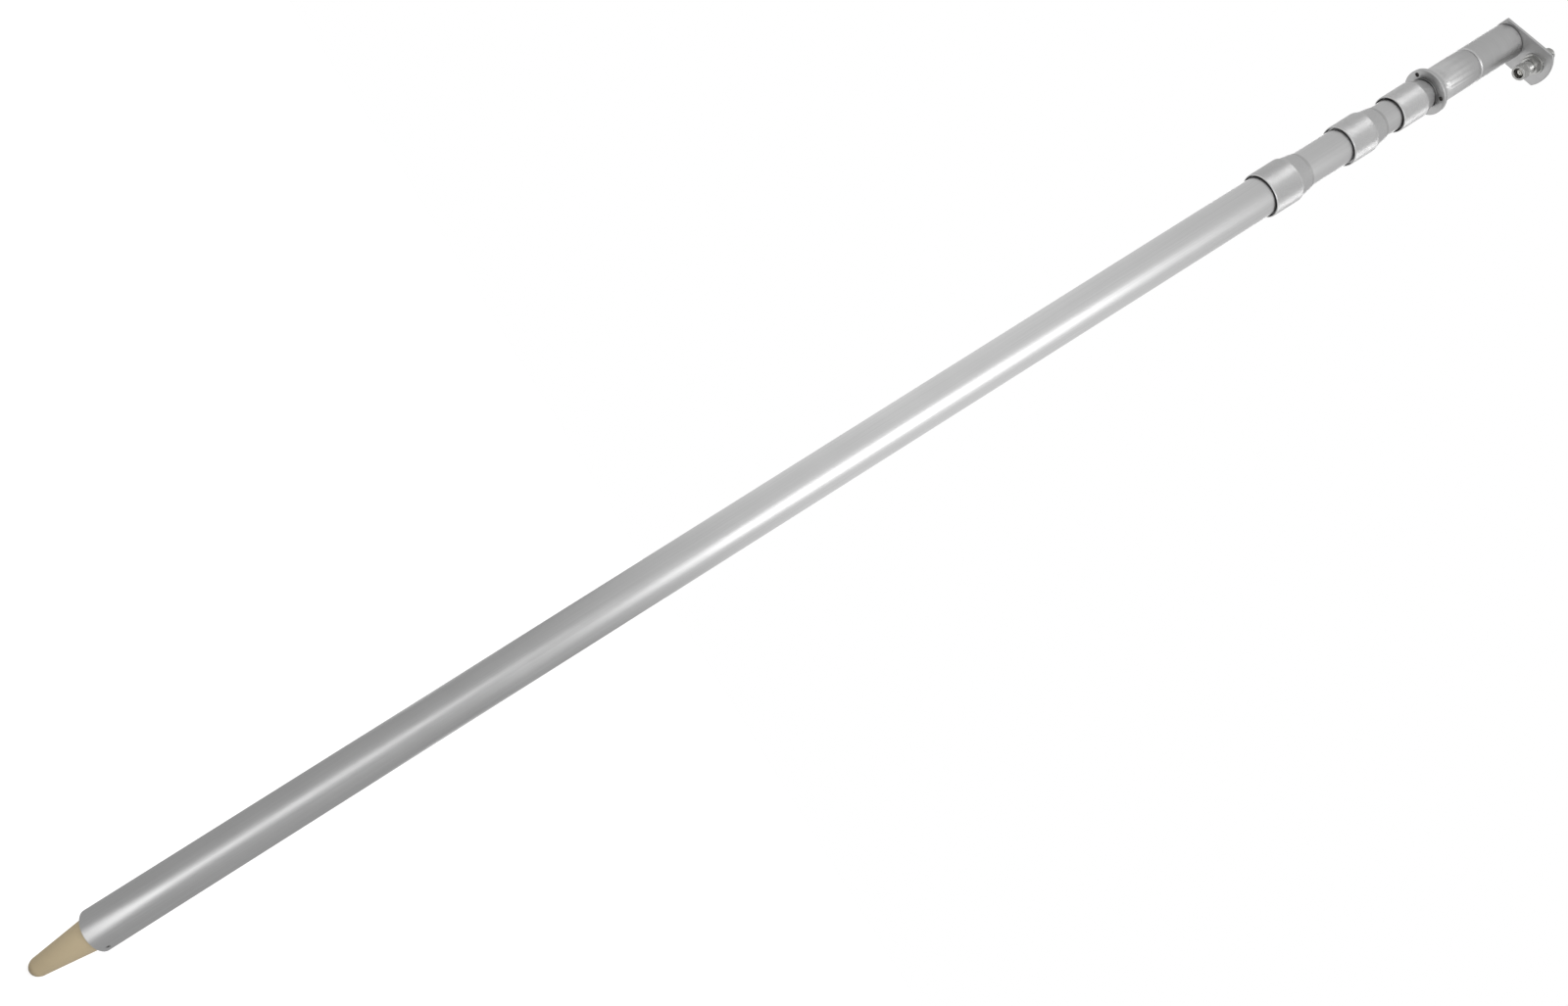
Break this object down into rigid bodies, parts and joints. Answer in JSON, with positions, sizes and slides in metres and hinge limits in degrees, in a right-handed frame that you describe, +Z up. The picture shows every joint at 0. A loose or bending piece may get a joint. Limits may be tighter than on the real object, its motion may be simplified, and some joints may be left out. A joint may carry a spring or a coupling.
{
  "type": "telescopic mast",
  "caption": "Hand-raised telescopic aluminium mast, closed up, with twist collars, a turning guy ring, a head plate with an aerial socket and a tapered foot plug.",
  "frame": {"origin": "centre of the lower tube's bottom rim, on its flat face", "axes": "+Z up the mast towards the head, +X towards the lug of the head plate"},
  "size_m": [0.0999, 0.0584, 2.0184],
  "materials": {
    "anodised_tube": "satin clear anodised",
    "anodised_head": "matt clear anodised",
    "knurled_collar": "fine knurl, bright",
    "turned_ring": "turned, dull",
    "screw_steel": "blackened",
    "socket_metal": "nickel plated",
    "contact_silver": "silver plated, satin",
    "insulator_white": "smooth",
    "foot_plastic": "moulded, matt"
  },
  "bodies": {
    "lower_section": {"lower_tube": "anodised_tube", "foot_plug": "foot_plastic", "foot_screws": "screw_steel", "thread_ring_1": "turned_ring", "clamp_ring_1": "turned_ring"},
    "lower_collar": {"collar_1": "knurled_collar"},
    "second_section": {"second_tube": "anodised_tube", "thread_ring_2": "turned_ring", "clamp_ring_2": "turned_ring"},
    "second_collar": {"collar_2": "knurled_collar"},
    "third_section": {"third_tube": "anodised_tube", "thread_ring_3": "turned_ring", "clamp_ring_3": "turned_ring"},
    "third_collar": {"collar_3": "knurled_collar"},
    "top_section": {"top_tube": "anodised_tube", "stop_ring": "screw_steel", "head_tube": "anodised_head", "head_plate": "anodised_head", "socket_barrel": "socket_metal", "socket_insulators": "insulator_white", "socket_contacts": "contact_silver", "socket_washers": "socket_metal", "socket_nuts": "socket_metal", "socket_lock_ring": "socket_metal"},
    "guy_swivel": {"guy_ring": "anodised_head"}
  },
  "joints": [
    {"name": "lower_collar_twist", "type": "hinge", "parent": "lower_section", "child": "lower_collar", "pos_m": [0, 0, 1.5575], "axis": [0, 0, 1], "range_deg": [0, 150]},
    {"name": "second_slide", "type": "slide", "parent": "lower_section", "child": "second_section", "axis": [0, 0, 1], "range_m": [0, 1.36]},
    {"name": "second_collar_twist", "type": "hinge", "parent": "second_section", "child": "second_collar", "pos_m": [0, 0, 1.67485], "axis": [0, 0, 1], "range_deg": [0, 150]},
    {"name": "third_slide", "type": "slide", "parent": "second_section", "child": "third_section", "axis": [0, 0, 1], "range_m": [0, 1.48]},
    {"name": "third_collar_twist", "type": "hinge", "parent": "third_section", "child": "third_collar", "pos_m": [0, 0, 1.75355], "axis": [0, 0, 1], "range_deg": [0, 150]},
    {"name": "top_slide", "type": "slide", "parent": "third_section", "child": "top_section", "axis": [0, 0, 1], "range_m": [0, 1.56]},
    {"name": "guy_ring_turn", "type": "hinge", "parent": "top_section", "child": "guy_swivel", "pos_m": [0, 0, 1.7916], "axis": [0, 0, 1], "continuous": true}
  ]
}
